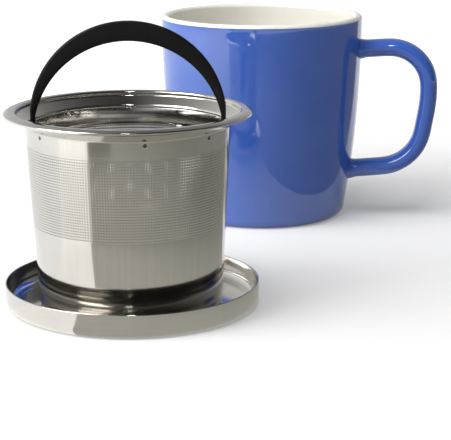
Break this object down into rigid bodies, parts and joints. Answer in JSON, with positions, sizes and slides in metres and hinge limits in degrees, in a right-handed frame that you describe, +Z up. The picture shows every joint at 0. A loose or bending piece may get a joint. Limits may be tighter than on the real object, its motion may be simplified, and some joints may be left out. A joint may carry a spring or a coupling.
{
  "type": "tea mug with infuser and loose lid",
  "caption": "Glazed tea mug with a lift-out stainless steel mesh infuser, a folding bail on it, and a loose steel lid that turns over as a drip tray.",
  "frame": {"origin": "centre of the lid's flat outer face, which lies on the table as the base of the upturned lid", "axes": "+Z up, +X to the right along the bail's hinge and towards the mug's handle, +Y away from the viewer towards the mug"},
  "size_m": [0.1854, 0.2356, 0.1053],
  "materials": {
    "mug_glaze": "glossy blue glaze outside, cream-white glaze inside and on the lip",
    "lid_steel": "bright satin",
    "infuser_steel": "bright satin, polished flange",
    "mesh_steel": "satin, etched with a fine square grid of holes",
    "weld_steel": "dull, slightly sunk weld spots",
    "pin_steel": "turned",
    "bail_nylon": "matte black moulded nylon"
  },
  "bodies": {
    "mug": {"mug_body": "mug_glaze", "mug_handle": "mug_glaze"},
    "lid": {"lid_shell": "lid_steel"},
    "infuser": {"infuser_collar": "infuser_steel", "mesh_sleeve": "mesh_steel", "base_pan": "infuser_steel", "collar_spot_welds": "weld_steel", "pivot_pin_left": "pin_steel", "pivot_pin_right": "pin_steel"},
    "bail": {"bail_handle": "bail_nylon"}
  },
  "joints": [
    {"name": "lid_lift", "type": "slide", "parent": "mug", "child": "lid", "axis": [0, 0, 1], "range_m": [0, 0.12]},
    {"name": "infuser_lift", "type": "slide", "parent": "lid", "child": "infuser", "axis": [0, 0, 1], "range_m": [0, 0.1]},
    {"name": "bail_fold", "type": "hinge", "parent": "infuser", "child": "bail", "pos_m": [-0.0005, 0, 0.0674], "axis": [1, 0, 0], "range_deg": [-82, 82]}
  ]
}
